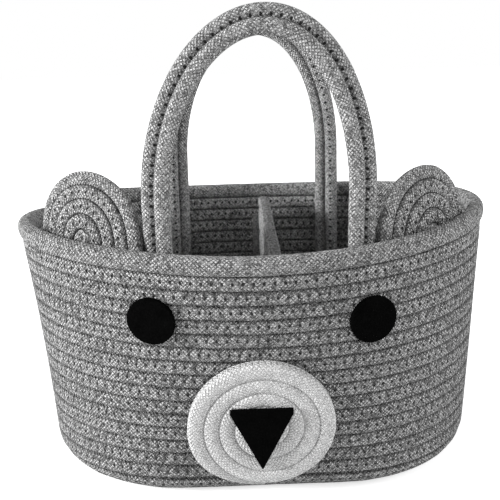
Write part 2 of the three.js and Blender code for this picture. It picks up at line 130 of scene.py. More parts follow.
# The nodes of a material or of the world
class Paint:
    def __init__(self, owner):
        owner.use_nodes = True
        self.owner = owner
        self.tree = owner.node_tree
        self.tree.nodes.clear()

    # Any node: its settings first, then the values and links of its sockets
    def add(self, kind, settings=None, sockets=None, output=0):
        node = self.tree.nodes.new(kind)
        for key, value in (settings or {}).items():
            setattr(node, key, value)
        for key, value in (sockets or {}).items():
            if isinstance(value, Wire):
                self.tree.links.new(value.socket, node.inputs[key])
            else:
                node.inputs[key].default_value = value
        return Wire(self, node.outputs[output]) if len(node.outputs) else None

    def blend(self, share, first, second, way="MIX"):
        return self.add("ShaderNodeMix", {"data_type": "RGBA", "blend_type": way}, {
            0: share, 6: first, 7: second}, 2)

    def vector(self, x, y, z):
        return self.add("ShaderNodeCombineXYZ", {}, {0: x, 1: y, 2: z})

    # The place on the piece, in metres
    def room(self):
        return self.add("ShaderNodeTexCoord", {}, {}, "Object")

    # The two values of one of the piece's own maps
    def mapOf(self, name):
        parts = self.add("ShaderNodeSeparateXYZ", {}, {0: self.add("ShaderNodeUVMap", {"uv_map": name})})
        return parts, parts.other(1)

    # 1 for the rays that see the backdrop: straight from the camera, mirrored or passed through
    def backdropRays(self):
        camera = self.add("ShaderNodeLightPath")
        return camera.larger(camera.other("Is Glossy Ray")).larger(camera.other("Is Transmission Ray"))

    def finish(self, sockets):
        surface = self.add("ShaderNodeBsdfPrincipled", {}, sockets)
        self.add("ShaderNodeOutputMaterial", {}, {"Surface": surface})
        return self.owner


def grey(value):
    return (value, value, value, 1.0)


def addObject(name, data):
    obj = bpy.data.objects.new(name, data)
    bpy.context.scene.collection.objects.link(obj)
    return obj


# A camera or a lamp in its place, with its axes along right, top and away
def addAimed(name, data, place, right, top, away):
    holder = addObject(name, data)
    rows = [[*row, 0] for row in np.stack([right, top, away], 1).tolist()]
    holder.matrix_world = Matrix.Translation(place) @ Matrix([*rows, [0, 0, 0, 1]])
    return holder


# The photograph's camera

cameraLook = {
    "place": (-12.09, -590.44, 310.19),
    "yaw": 0.0187,
    "pitch": 0.2671,
    "roll": -0.0258,
    "focalPixels": 785.44,
    "imagePixels": 500,
    "sensor": 36.0,
    "clip": (0.01, 50.0),
}


# It looks along yaw and down by pitch, and is turned by roll about its line of sight, in radians
def makeCamera(look):
    camera = bpy.data.cameras.new("camera")
    camera.sensor_fit = "HORIZONTAL"
    camera.sensor_width = look["sensor"]
    camera.lens = look["focalPixels"] / look["imagePixels"] * look["sensor"]
    camera.clip_start, camera.clip_end = look["clip"]
    yaw, pitch, roll = look["yaw"], look["pitch"], look["roll"]
    ahead = np.array([
        math.sin(yaw) * math.cos(pitch), math.cos(yaw) * math.cos(pitch), -math.sin(pitch)])
    level = np.array([math.cos(yaw), -math.sin(yaw), 0])
    above = np.cross(level, ahead)
    right = math.cos(roll) * level + math.sin(roll) * above
    top = -math.sin(roll) * level + math.cos(roll) * above
    place = [x * mm for x in look["place"]]
    bpy.context.scene.camera = addAimed("camera", camera, place, right, top, -ahead)


makeCamera(cameraLook)
print("camera set")


# Light and floor, in metres

lightLook = {
    "world": 0.55,
    "target": (0, 0, 0.12),
    "key": {"place": (-2.3, -0.55, 0.8), "size": 0.7, "power": 88},
    "fill": {"place": (2.1, -0.7, 0.9), "size": 1.8, "power": 33},
    "back": {"place": (-0.6, 1.6, 1.6), "size": 1.6, "power": 8},
}
floorLook = {
    "reach": 6.0,
    "paper": 0.86,
    "glow": 0.62,  # what the camera sees of it under the caddy, which is white further off
    "clear": (0.3, 0.7),  # how far off it turns white
}


def aimedLight(name, look, target):
    lamp = bpy.data.lights.new(name, "AREA")
    lamp.shape = "DISK"
    lamp.size = look["size"]
    lamp.energy = look["power"]
    away = np.array(look["place"]) - np.array(target)
    away = away / np.linalg.norm(away)
    side = np.cross([0, 0, 1], away)
    side = side / np.linalg.norm(side)
    addAimed(name, lamp, look["place"], side, np.cross(away, side), away)


def makeLight(look):
    for name in ("key", "fill", "back"):
        aimedLight(name, look[name], look["target"])
    paint = Paint(bpy.data.worlds.new("studio"))
    strength = look["world"] + paint.backdropRays() * (1 - look["world"])
    glow = paint.add("ShaderNodeBackground", {}, {"Color": grey(1), "Strength": strength})
    paint.add("ShaderNodeOutputWorld", {}, {"Surface": glow})
    bpy.context.scene.world = paint.owner


def makeFloor(look):
    reach = look["reach"]
    corners = [(-reach, -reach, 0), (reach, -reach, 0), (reach, reach, 0), (-reach, reach, 0)]
    mesh = bpy.data.meshes.new("floor")
    mesh.from_pydata(corners, [], [(0, 1, 2, 3)])
    floor = addObject("floor", mesh)
    paint = Paint(bpy.data.materials.new("pale floor"))
    away = paint.add("ShaderNodeVectorMath", {"operation": "LENGTH"}, {0: paint.room()}, "Value")
    clear = away.smooth(*look["clear"], look["glow"], 1.0)
    paper = paint.add("ShaderNodeBsdfDiffuse", {}, {"Color": grey(look["paper"])})
    strength = paint.backdropRays() * clear
    glow = paint.add("ShaderNodeEmission", {}, {"Color": grey(1), "Strength": strength})
    both = paint.add("ShaderNodeAddShader", {}, {0: paper, 1: glow})
    paint.add("ShaderNodeOutputMaterial", {}, {"Surface": both})
    mesh.materials.append(paint.owner)


makeLight(lightLook)
makeFloor(floorLook)
bpy.context.scene.view_settings.view_transform = "Standard"
print("light and floor set")


# The basket's middle surface, as it is coiled: straight-sided at the base and a full oval at the rim.
# A place on it is told by a step round the loop and a distance from the middle of the base.

basket = {
    "height": 178.0,
    "rimHalfDepth": 130.0,
    "rimCore": 43.0,  # half the length between the centres of the round ends
    "baseHalfDepth": 104.0,
    "baseCore": 56.2,
    "rounding": 20.0,  # radius between base and wall
    "rise": 10.0,  # how much higher the rim is at its ends
    "lean": 4.0,  # how far the base's middle lies to the right of the rim's
    "flare": 2.5,
    "rope": 9.5,
    "rimRope": 12.0,
    "gap": 0.45,  # least gap between rows in the solids
    "press": 0.04,  # half of what two rows overlap here
    "straightSteps": 2,
    "arcSteps": 7,
    "searchPoints": 721,
}
ropeRadius = basket["rope"] / 2
rimRadius = basket["rimRope"] / 2
floorLine = ropeRadius - basket["rope"] / 10  # the base's rope is flat below, by a tenth
rimLine = basket["height"] - rimRadius
rimDepth = basket["rimHalfDepth"] - rimRadius
slant = math.atan2(rimDepth - (basket["baseHalfDepth"] - ropeRadius), rimLine)
bend = basket["rounding"] - ropeRadius
bendStart = (basket["baseHalfDepth"] - ropeRadius + math.tan(slant) * (floorLine + bend)
             - bend / math.cos(slant))
slantStart = bendStart + (math.pi / 2 - slant) * bend
slantDepth = bendStart + bend * math.cos(slant)
slantHeight = floorLine + bend * (1 - math.sin(slant))
slantLength = (rimLine - slantHeight) / math.cos(slant)
rimDistance = slantStart + slantLength
rimHalfLength = basket["rimCore"] + rimDepth
rimStep = ropeRadius + rimRadius + basket["gap"]
lastRow = math.floor((rimDistance - rimStep) / (basket["rope"] + basket["gap"]))
pitch = (rimDistance - rimStep) / lastRow
baseRows = math.floor(bendStart / pitch) + 1
loopSteps = 2 * (basket["straightSteps"] + basket["arcSteps"])
stepNudge, distanceNudge = 0.02, 0.1  # short ways along the surface
middleX = basket["lean"]  # the base's middle, which the face, handles and divider keep to


def lerp(a, b, share):
    return a + (b - a) * share


def eased(share):
    return share * share * (3 - 2 * share)


def unit(v):
    return v / np.maximum(np.linalg.norm(v, axis=-1, keepdims=True), 1e-9)


# Depth and height of the wall's line: flat, then an arc, then straight and slanting
def profile(distance):
    angle = np.clip((distance - bendStart) / bend, 0, math.pi / 2 - slant)
    rest = np.maximum(distance - slantStart, 0)
    depth = np.minimum(distance, bendStart) + bend * np.sin(angle) + rest * math.sin(slant)
    height = floorLine + bend * (1 - np.cos(angle)) + rest * math.cos(slant)
    return depth, height


# The angle round the ends, and how far along the straight core, at a step of the loop:
# along the back, round the left end, along the front and round the right end
def loopPlace(step):
    straight, arc = basket["straightSteps"], basket["arcSteps"]
    place = np.mod(step, loopSteps)
    parts = [place < straight, place < straight + arc, place < 2 * straight + arc]
    aroundLeft = math.pi / 2 + math.pi * (place - straight) / arc
    aroundRight = 1.5 * math.pi + math.pi * (place - 2 * straight - arc) / arc
    angle = np.select(parts, [math.pi / 2, aroundLeft, 1.5 * math.pi], aroundRight)
    onFront = 2 * (place - straight - arc) / straight - 1
    side = np.select(parts, [1 - 2 * place / straight, -1, onFront], 1)
    return angle, side


# The surface: an oval of straight sides and round ends that turns to an ellipse with height
def wallAt(step, distance):
    step, distance = np.broadcast_arrays(np.asarray(step, float), np.asarray(distance, float))
    depth, height = profile(distance)
    share = np.maximum(0, (distance - slantStart) / slantLength)
    core = lerp(basket["baseCore"], basket["rimCore"], share)
    angle, side = loopPlace(step)
    oval = math.pi / 2 + (step - basket["straightSteps"] / 2) * 2 * math.pi / loopSteps
    x = lerp(core * side + depth * np.cos(angle), (core + depth) * np.cos(oval), share)
    y = lerp(depth * np.sin(angle), depth * np.sin(oval), share)
    x = x * (1 + share ** 3 * basket["flare"] / rimHalfLength)
    z = height + share * basket["rise"] * (x / rimHalfLength) ** 2
    return np.stack([x - basket["lean"] * share ** 2 + basket["lean"], y, z], -1)


# The surface's own directions: level along a row, and outwards
def alongWall(step, distance):
    away = np.maximum(distance, pitch)
    return unit(wallAt(step + stepNudge, away) - wallAt(step - stepNudge, away))


def outOfWall(step, distance):
    inner = np.maximum(distance - distanceNudge, 0)
    across = unit(wallAt(step, distance + distanceNudge) - wallAt(step, inner))
    return unit(np.cross(alongWall(step, distance), across))


# Where the basket's rope lies: level rows, and round the left end a half turn
# about a centre half a row further forward, which brings it to the next row
def coilPlace(total, extra=0.0):
    total = np.asarray(total, float)
    loop = np.floor(total / loopSteps)
    step = total - loop * loopSteps
    angle = loopPlace(step)[0]
    straight, arc = basket["straightSteps"], basket["arcSteps"]
    onLeft = (step > straight) & (step < straight + arc)
    row = loop + np.where(step >= straight + arc, 1.0, 0.0)
    row = np.where(onLeft, loop + (1 - np.sin(angle)) / 2, row)
    distance = row * pitch + extra
    slide = np.where(onLeft, -pitch / 2 * np.cos(angle), 0.0)
    place = wallAt(step, distance) + alongWall(step, distance) * slide[:, None]
    return place, outOfWall(step, distance), distance


# Rope as a swept surface. Two values along a rope, one for each side, tell its stitches:
# one lies where the value is whole.

noStitch = 0.5
ropeFaces = ((0, 1), (0.5, -1))  # how far round the section each face is, and which way up is there


def unsewn(count):
    return np.full((count, 2), noStitch)


# From -0.5 to 0.5, and 0 at every whole number
def fromWhole(value):
    return np.mod(value + 0.5, 1) - 0.5


# The length of a path up to each of its points
def lengthsAlong(points):
    return np.concatenate([[0], np.cumsum(np.linalg.norm(np.diff(points, axis=0), axis=1))])


# The same path with points at an even spacing along it, and other values carried with it
def resampled(points, spacing, *others):
    length = lengthsAlong(points)
    at = np.linspace(0, length[-1], int(length[-1] / spacing) + 1)
    even = [np.stack([np.interp(at, length, part[:, k]) for k in range(part.shape[1])], 1)
            for part in (points, *others)]
    return at, even


# The directions out of a path's row, made square to the path, and along the row's width
def acrossPath(points, outs):
    along = unit(np.gradient(points, axis=0))
    outs = unit(outs - along * np.sum(along * outs, 1, keepdims=True))
    return outs, np.cross(outs, along)


# A smooth random curve along a length, from -1 to 1: random values a period apart, eased between
def softNoise(at, period, seed):
    rng = np.random.default_rng(seed)
    knots = rng.uniform(-1, 1, int(at[-1] / period) + 4)
    index = np.floor(at / period).astype(int)
    share = eased(at / period - index)
    return knots[index] * (1 - share) + knots[index + 1] * share


# How far the needle has drawn the rope in: a round dent at each hole, on both faces,
# above the middle where sewn's first value is whole and below it where the second is
def stitchDent(shares, girth, sewn, look):
    dent = 0
    for side, phase, depth in ((1, sewn[:, :1], 1), (-1, sewn[:, 1:], look["lowerHole"])):
        along = fromWhole(phase) * look["stitch"]
        for face, way in ropeFaces:
            turn = face + side * way * look["holeTurn"]
            across = fromWhole(shares[None, :] - turn) * girth
            dent = dent + np.exp(-(along ** 2 + across ** 2) / (2 * look["dentWidth"] ** 2)) * depth
    return dent * look["dent"]


# How thick a rope still is near a drawn end: from tip to 1 over the length of the taper, eased
def tapered(rest, look):
    return lerp(look["tip"], 1, eased(np.clip(rest / look["taper"], 0, 1)))


# How thick a rope still is near its two ends: a quarter circle over the length of the cap
def roundedEnds(at, look):
    cap = look["thick"] * look["cap"]
    ends = np.ones_like(at)
    for reach in (at, at[-1] - at):
        circle = 1 - (1 - np.minimum(reach, cap) / cap) ** 2
        ends = ends * np.sqrt(np.clip(circle, look["capLeast"], 1))
    return ends


# A rope's section, a rounded oblong: x = thick * |cos|^(2/n), y = wide * |sin|^(2/n)
def oblong(look):
    angle = np.linspace(0, 2 * math.pi, look["sides"], endpoint=False)
    x, y = np.cos(angle), np.sin(angle)
    power = 2 / look["squareness"]
    across = np.sign(x) * np.abs(x) ** power * look["thick"]
    sideways = np.sign(y) * np.abs(y) ** power * look["wide"]
    return across, sideways, np.abs(x)


# The share of the way round a section up to each of its corners, and the whole way round
def aroundShares(across, sideways):
    length = np.hypot(np.diff(across, append=across[:1]), np.diff(sideways, append=sideways[:1]))
    return np.concatenate([[0], np.cumsum(length)]) / np.sum(length), np.sum(length)


# A rope swept along a path: place = path + section * (1 + swell - dents) * ends, so that it fills
# its row, is drawn in at its stitches and rounded at its ends. A tapered end is tucked against
# the row beside it. Widths are shares of the look's own.
def ropeMesh(name, points, outs, look, sewn=None, widths=None, startLength=0.0):
    sewn = unsewn(len(points)) if sewn is None else sewn
    widths = np.ones(len(points)) if widths is None else widths
    at, (points, outs, sewn, widths) = resampled(points, look["spacing"], outs, sewn, widths[:, None])
    outs, rows = acrossPath(points, outs)
    wobble = softNoise(at, look["wobblePeriod"], look["seed"]) * look["wobble"]
    points = points + outs * wobble[:, None]
    across, sideways, facing = oblong(look)
    shares, girth = aroundShares(across, sideways)
    swell = softNoise(at, look["swellPeriod"], look["seed"] + look["swellSeed"]) * look["swell"]
    grown = swell[:, None] * facing - stitchDent(shares[:-1], girth, sewn, look)
    ends = roundedEnds(at, look)
    if "taper" in look:
        left = tapered(at[-1] - at, look)
        points = points + rows * ((1 - left) * look["wide"] * look["tuck"])[:, None]
        ends = ends * left
    size = ((1 + grown / look["thick"]) * ends[:, None])[:, :, None]
    aside = sideways[None, :, None] * widths[:, None]
    ring = outs[:, None, :] * across[None, :, None] + rows[:, None, :] * aside
    place = points[:, None, :] + ring * size
    if look["floor"] is not None:
        place[:, :, 2] = np.maximum(place[:, :, 2], look["floor"])
    return tubeObject(name, place, at + startLength, sewn, shares)


# A mesh from rings of points, closed by a point at each end. Its first map holds the
# length along it and the way round it, and its second the places of the stitches.
def tubeObject(name, place, at, sewn, shares=None):
    count, sides = place.shape[:2]
    if shares is None:
        shares = np.linspace(0, 1, sides + 1)
    verts = np.concatenate([place.reshape(-1, 3), place[:1].mean(1), place[-1:].mean(1)]) * mm
    i, j = np.meshgrid(np.arange(count - 1), np.arange(sides), indexing="ij")
    low, high, beside = i * sides, (i + 1) * sides, (j + 1) % sides
    quads = np.stack([low + j, low + beside, high + beside, high + j], -1)
    side = np.arange(sides)
    first = np.stack([np.full(sides, count * sides), (side + 1) % sides, side], -1)
    last = (count - 1) * sides + np.stack([np.full(sides, sides + 1), side, (side + 1) % sides], -1)
    mesh = bpy.data.meshes.new(name)
    faces = [*quads.reshape(-1, 4).tolist(), *first.tolist(), *last.tolist()]
    mesh.from_pydata(verts.tolist(), [], faces)
    ring = np.concatenate([
        np.stack([i, i, i + 1, i + 1], -1).reshape(-1),
        np.repeat([0, count - 1], 3 * sides)])
    corner = np.concatenate([
        np.stack([j, j + 1, j + 1, j], -1).reshape(-1),
        np.stack([side, side + 1, side], -1).reshape(-1),
        np.stack([side, side, side + 1], -1).reshape(-1)])
    addMap(mesh, "lay", at[ring] * mm, shares[corner])
    addMap(mesh, "sewing", sewn[ring, 0], sewn[ring, 1])
    mesh.shade_smooth()
    return addObject(name, mesh)


def addMap(mesh, name, u, v):
    layer = mesh.uv_layers.new(name=name)
    layer.data.foreach_set("uv", np.stack([u, v], 1).astype(np.float32).reshape(-1))


# A sewing thread through its holes: a thin tube with a diamond section along a zigzag
def threadMesh(name, points, outs, look):
    outs, rows = acrossPath(points, outs)
    turn = (np.arange(4) * math.pi / 2)[None, :, None]
    ring = outs[:, None, :] * np.cos(turn) + rows[:, None, :] * np.sin(turn)
    place = points[:, None, :] + ring * look["radius"]
    return tubeObject(name, place, lengthsAlong(points), unsewn(len(points)))


# Rope material: two sets of strands that cross at a right angle and pass over each other in turn,
# each of mixed dark and light yarns. The sets are counted by length / strand + and - turns * strands,
# and the one on top changes with every whole count. Needle holes lie along each row. Painted shade
# darkens the colour between the strands, in the needle holes and down in the seams between rows.

greyLay = {
    "strands": 13,  # round the rope
    "strand": 2.7,
    "yarns": 3,  # in a strand
    "girth": 35.0,
    "dark": 0.12,
    "light": 0.72,
    "tones": (0.15, 0.85),
    "yarn": 0.85,  # how much the tone varies by yarn, fleck, fibre and patch
    "fleck": 0.25,
    "fibre": 0.3,
    "fibres": (5, 2),
    "fibreApart": (1.7, 2.3),  # gives each strand its own fibres
    "patch": 0.04,
    "patches": 28.0,
    # painted shade: how much darker the colour is made down between the strands
    "creaseShade": 0.45,  # how much darker it is between strands
    "bump": 1.0,
    "relief": 0.0016,
    "fibreRelief": 0.5,
    "holeRelief": 1.5,
    # painted shade in the seams between rows: how dark, and how far round the section it begins and ends
    "seam": 0.4,
    "seamTurn": (0.135, 0.16),
    "stitch": 6.5,
    # painted shade in the needle holes: how much of the colour is taken away there
    "hole": 0.97,
    "holeTurn": 0.025,
    "holeSize": (0.65, 1.15),
    "holeRound": 0.5,
    "lowerHole": 0.0,
}
rimLay = {**greyLay, "strands": 15, "girth": 40.0, "light": 0.68, "seam": 0.0}
earLay = {**greyLay, "light": 0.8, "seamTurn": (0.15, 0.18)}
handleLay = {
    **greyLay, "strands": 12, "girth": 33.0, "dark": 0.17, "light": 0.7, "relief": 0.0013, "seam": 0.0,
    "holeTurn": 0.05, "lowerHole": 1.0,
}
whiteLay = {
    **greyLay, "dark": 0.5, "light": 0.82, "yarn": 0.6, "fleck": 0.3, "creaseShade": 0.12,
    "relief": 0.0008, "seam": 0.0, "stitch": 2.8, "hole": 0.4, "holeTurn": 0.23,
    "holeSize": (0.25, 0.6), "lowerHole": 1.0,
}
ropeGloss = {"Roughness": 0.92, "Specular IOR Level": 0.1, "Sheen Weight": 0.1, "Sheen Roughness": 0.6}


def ropeMaterial(name, look):
    paint = Paint(bpy.data.materials.new(name))
    along, around = paint.mapOf("lay")
    upper, lower = paint.mapOf("sewing")
    run = along * (1 / mm) / look["strand"]
    turns = around * look["strands"]
    first, second = run + turns, run - turns
    over = ((first.whole() + second.whole()) * 0.5).part().above(0.25)  # 1 where the sum is odd
    across = first.part() + (second.part() - first.part()) * over
    lengthwise = second.part() + (first.part() - second.part()) * over
    ridge = (across * math.pi).math("SINE") * (1 - abs(lengthwise * 2 - 1) ** 4)

    def random(third):
        return paint.add("ShaderNodeTexWhiteNoise", {"noise_dimensions": "3D"}, {
            "Vector": paint.vector(first.whole(), second.whole(), third)})

    yarns = look["yarns"]
    yarnCount = (across * yarns).whole()
    yarn = random(yarnCount)
    fleck = random(yarnCount + (lengthwise * yarns).whole() * yarns + yarns)
    fibre = paint.add("ShaderNodeTexNoise", {}, {
        "Vector": paint.vector(
            across * look["fibres"][0], lengthwise * look["fibres"][1],
            first.whole() * look["fibreApart"][0] + second.whole() * look["fibreApart"][1]),
        "Scale": 1.0, "Detail": 3.0})
    patch = paint.add("ShaderNodeTexNoise", {}, {
        "Vector": paint.room(), "Scale": look["patches"], "Detail": 2.0})
    tone = 0.5 + (yarn - 0.5) * look["yarn"] + (fleck - 0.5) * look["fleck"]
    tone = tone + (fibre - 0.5) * look["fibre"] + (patch - 0.5) * look["patch"]

    # The needle holes: a mask that darkens the colour as painted shade and also dents the bump
    hole = 0
    for side, sewn, depth in ((1, upper, 1.0), (-1, lower, look["lowerHole"])):
        onward = sewn.fromWhole() * look["stitch"]
        for face, way in ropeFaces:
            aside = (around - (face + side * way * look["holeTurn"])).fromWhole() * look["girth"]
            away = (aside * aside * look["holeRound"] + onward * onward).math("SQRT")
            hole = away.smooth(*look["holeSize"], depth, 0) + hole

    # Painted shade down in the seams, at the rope's sides where it meets the rows beside it
    fromFace = abs((around * 2).fromWhole()) * 0.5
    seam = fromFace.smooth(*look["seamTurn"], 0, look["seam"])
    # Painted shade multiplies the colour: between the strands, in the needle holes and down in the seams
    shadow = (1 - (1 - ridge) * look["creaseShade"]) * (1 - hole * look["hole"]) * (1 - seam)
    colour = paint.blend(tone.smooth(*look["tones"]), grey(look["dark"]), grey(look["light"]))
    shaded = paint.blend(1.0, colour, paint.vector(shadow, shadow, shadow), "MULTIPLY")
    height = ridge + fibre * look["fibreRelief"] - hole * look["holeRelief"]
    normal = paint.add("ShaderNodeBump", {}, {
        "Strength": look["bump"], "Distance": look["relief"], "Height": height})
    return paint.finish({"Base Color": shaded, "Normal": normal, **ropeGloss})


ropeLays = {
    "greyRope": greyLay, "rimRope": rimLay, "earRope": earLay, "handleRope": handleLay,
    "whiteRope": whiteLay,
}
ropePaint = {name: ropeMaterial(name, look) for name, look in ropeLays.items()}
print("rope materials made")


# Thread, felt and tape

clothLooks = {
    "thread": {"dark": 0.08, "light": 0.3, "fine": 2400.0, "bump": 0.3},
    "felt": {"dark": 0.0002, "light": 0.002, "fine": 900.0, "bump": 0.5},
    "loopTape": {"dark": 0.1, "light": 0.3, "fine": 1400.0, "bump": 0.9},
    "hookTape": {"dark": 0.06, "light": 0.22, "fine": 700.0, "bump": 1.0},
}
clothWeave = {"cloud": 0.3, "cloudSize": 8, "tones": (0.3, 0.7), "relief": 0.0004}
clothGloss = {"Roughness": 0.95, "Specular IOR Level": 0.02}


# Fibres matted together: two sizes of noise in the cloth's own colour and height
def clothMaterial(name, look):
    paint = Paint(bpy.data.materials.new(name))
    room = paint.room()
    coarse = look["fine"] / clothWeave["cloudSize"]
    fuzz = paint.add("ShaderNodeTexNoise", {}, {"Vector": room, "Scale": look["fine"], "Detail": 3.0})
    cloud = paint.add("ShaderNodeTexNoise", {}, {"Vector": room, "Scale": coarse, "Detail": 2.0})
    tone = fuzz * (1 - clothWeave["cloud"]) + cloud * clothWeave["cloud"]
    colour = paint.blend(tone.smooth(*clothWeave["tones"]), grey(look["dark"]), grey(look["light"]))
    normal = paint.add("ShaderNodeBump", {}, {
        "Strength": look["bump"], "Distance": clothWeave["relief"], "Height": tone})
    return paint.finish({"Base Color": colour, "Normal": normal, **clothGloss})


clothPaint = {name: clothMaterial(name, look) for name, look in clothLooks.items()}


# A finished piece's material, its body, and the solids that it stands for
def dress(obj, material, slotName, body, *nodes):
    obj.data.materials.append(material)
    if body:
        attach(obj, body)
    if nodes:
        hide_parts(*nodes)


# Base and wall: one rope, coiled from the middle of the base to under the rim

coilLook = {
    "wide": pitch / 2 + basket["press"], "thick": ropeRadius, "squareness": 4.0,
    "sides": 24, "spacing": 1.5,
    "pathPoints": 14, "measurePoints": 12,  # for each step round the loop
    "wobble": 0.15, "wobblePeriod": 37.0, "swell": 0.12, "swellPeriod": 9.0, "swellSeed": 100,
    "seed": 11, "wallSeed": 20,
    "stitch": greyLay["stitch"], "holeTurn": greyLay["holeTurn"], "lowerHole": greyLay["lowerHole"],
    "dent": 0.4, "dentWidth": 1.0, "cap": 0.5, "capLeast": 0.02, "floor": 0.0,
    "lap": 0.1,  # steps that one length of it goes past the start of the next
}
baseLook = {**coilLook, "sides": 14, "spacing": 2.0}
tipLook = {"taper": 17.0, "tip": 0.35, "tuck": -1}  # tuck tells towards which side of its row
rimLook = {
    **coilLook, "wide": 6.2, "thick": 6.0, "squareness": 2.5, "sides": 28, "spacing": 1.4, "wobble": 0.1,
    "into": 3.0,  # how far its end goes into its own start
}
seamLook = {"radius": 0.36, "depth": 0.3}
coilEnds = {"base": 0.5, "wall": 0.2, "rim": 0.78}  # in steps past the joint behind the left end
jointStep = basket["straightSteps"] + 1
baseEnd = baseRows * loopSteps + jointStep + coilEnds["base"]
wallEnd = lastRow * loopSteps + jointStep + coilEnds["wall"]
rimStart = lastRow * loopSteps + jointStep + coilEnds["rim"]
rimExtra = rimDistance - (lastRow + 1) * pitch

coilTurns = wallEnd + loopSteps
coilTotals = np.linspace(0, coilTurns, int(coilTurns * coilLook["measurePoints"]))
coilLength = lengthsAlong(coilPlace(coilTotals)[0])


# The rope's length up to a step of the whole winding, and the step at a length
def lengthAt(total):
    return np.interp(total, coilTotals, coilLength)


def totalAt(length):
    return np.interp(length, coilLength, coilTotals)


# Whole numbers at the needle holes: on the side of the next row, and of the row before
def sewnAt(total):
    stitch = coilLook["stitch"]
    return np.stack([lengthAt(total) / stitch, lengthAt(total - loopSteps) / stitch + 0.5], 1)


# How far the rows lie apart, as a share of the pitch: more at the ends, where the rim rises
def rowSpacing(step, distance):
    across = wallAt(step, distance + pitch / 2) - wallAt(step, distance - pitch / 2)
    rows = np.cross(outOfWall(step, distance), alongWall(step, distance))
    return np.where(distance > slantStart, np.sum(across * rows, -1) / pitch, 1.0)


# The winding between two steps, with its stitches and its rows' widths
def coilPath(start, end, extra=0.0):
    total = np.linspace(start, end, int((end - start) * coilLook["pathPoints"]))
    place, out, distance = coilPlace(total, extra)
    return place, out, sewnAt(total), rowSpacing(total, distance)


# In four lengths that lap a little. The end at the rim is drawn thin, under the rim rope's own end.
def makeCoil():
    points, outs, sewn, widths = coilPath(0, baseEnd)
    points[0] += unit(points[0] - points[1]) * ropeRadius
    base = ropeMesh("baseRope", points, outs, baseLook, sewn, widths)
    dress(base, ropePaint["greyRope"], "grey_rope", "basket", "base_coil")
    names = ("wallRopeLower", "wallRopeMiddle", "wallRopeUpper")
    tip = totalAt(lengthAt(wallEnd) + tipLook["taper"])
    cuts = [*np.linspace(baseEnd, wallEnd, len(names) + 1)[:-1], tip]
    for k, name in enumerate(names):
        start = cuts[k] - coilLook["lap"]
        points, outs, sewn, widths = coilPath(start, cuts[k + 1])
        drawn = tipLook if name == names[-1] else {}
        look = {**coilLook, "seed": coilLook["wallSeed"] + k, **drawn}
        rope = ropeMesh(name, points, outs, look, sewn, widths, lengthAt(start))
        dress(rope, ropePaint["greyRope"], "grey_rope", "basket", "wall_coil")


# Once round, then down to its own start and a little into it
def makeRim():
    points, outs, sewn, widths = coilPath(rimStart, wallEnd + loopSteps, rimExtra)
    back = unit(points[0] - points[1])
    down = [points[0] + back * basket["rimRope"], points[0] - back * rimLook["into"]]
    points = np.concatenate([points, down])
    outs, widths = (np.concatenate([part, part[:1], part[:1]]) for part in (outs, widths))
    sewn = np.concatenate([sewn, sewn[-1:], sewn[-1:]])
    sewn[:, 0] = noStitch
    rim = ropeMesh("rimRope", points, outs, rimLook, sewn, widths)
    dress(rim, ropePaint["rimRope"], "rim_rope", "basket", "rim_rope")


# The zigzag that joins each row to the next, on the outer and on the inner face:
# a hole in a row, the hole half a stitch further on in the next row, and so on
def makeSeams():
    stitch = coilLook["stitch"]
    depth = coilLook["thick"] - seamLook["depth"]
    aside = greyLay["holeTurn"] * greyLay["girth"]
    end = (lastRow - 1) * loopSteps + jointStep
    for name, face, start in (("outerSeam", 1, baseEnd - loopSteps / 2), ("innerSeam", -1, loopSteps)):
        first, last = math.ceil(lengthAt(start) / stitch), math.floor(lengthAt(end) / stitch)
        lengths = np.arange(first, last) * stitch
        places, outs = [], []
        for total, side in ((totalAt(lengths), 1), (totalAt(lengths + stitch / 2) + loopSteps, -1)):
            place, out, distance = coilPlace(total)
            rows = np.cross(out, alongWall(np.mod(total, loopSteps), distance))
            places.append(place + out * (face * depth) + rows * (side * aside))
            outs.append(out * face)
        points, outs = (np.stack(part, 1).reshape(-1, 3) for part in (places, outs))
        seam = threadMesh(name, points, outs, seamLook)
        dress(seam, clothPaint["thread"], "grey_rope", "basket")


makeCoil()
makeRim()
makeSeams()
print("base, wall and rim made")


# Ears and muzzle: spirals of the same rope

spiralLook = {
    **coilLook, "squareness": 2.6, "sides": 20, "spacing": 1.2, "dent": 0.35, "floor": None,
    "start": -0.2, "spiralPoints": 900,
}
handleLook = {
    **spiralLook, "halfSpan": 75.3, "top": 329.3, "leg": 70.0, "pitch": 8.5, "lean": 5.4, "splay": 4.0,
    "spring": 211.0,  # where the arch begins
    "behind": 5.2,  # how far the outer rope lies behind the inner one
    "clear": 0.2,
    "shaft": (2.0, 4.0),  # how far its straight part stays off the rim and the spring line
    "wide": 5.2, "thick": 5.2, "squareness": 2.1, "seed": 41, "bend": (181.0, 207.0),
    "holeTurn": handleLay["holeTurn"], "lowerHole": handleLay["lowerHole"],
    "legPoints": 14, "shaftPoints": 9, "archPoints": 90, "pathSpacing": 2.0, "rounds": 6,
}
